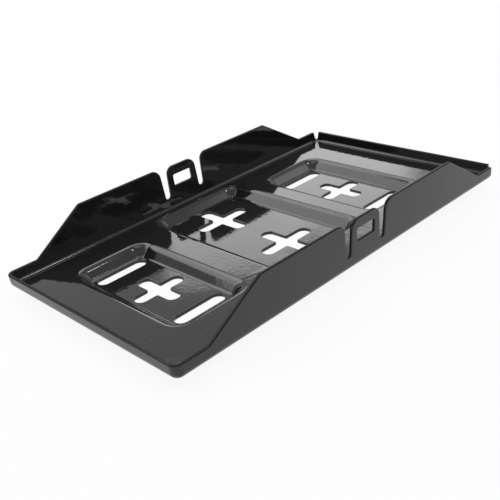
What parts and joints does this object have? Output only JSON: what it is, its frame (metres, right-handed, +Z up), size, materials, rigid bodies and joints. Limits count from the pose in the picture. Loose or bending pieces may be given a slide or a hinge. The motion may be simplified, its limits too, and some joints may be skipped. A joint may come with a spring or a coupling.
{
  "type": "car battery tray",
  "caption": "Folded sheet steel tray that holds a car battery, with high side wings, slotted strap tabs, low end flanges and pressed recesses with bolt slots and cross holes.",
  "frame": {"origin": "middle of the footprint on the plane that the tray stands on, the underside of the pressed recesses", "axes": "+Z up, out of the tray's open top; X along the tray's length, with the recess nearer its end at -X; Y across, with the middle recess nearer the +Y wall"},
  "size_m": [0.3264, 0.1872, 0.0435],
  "materials": {
    "black_powder_coat": "gloss black powder coat over steel sheet"
  },
  "bodies": {
    "root": {"battery_tray": "black_powder_coat"}
  },
  "joints": []
}
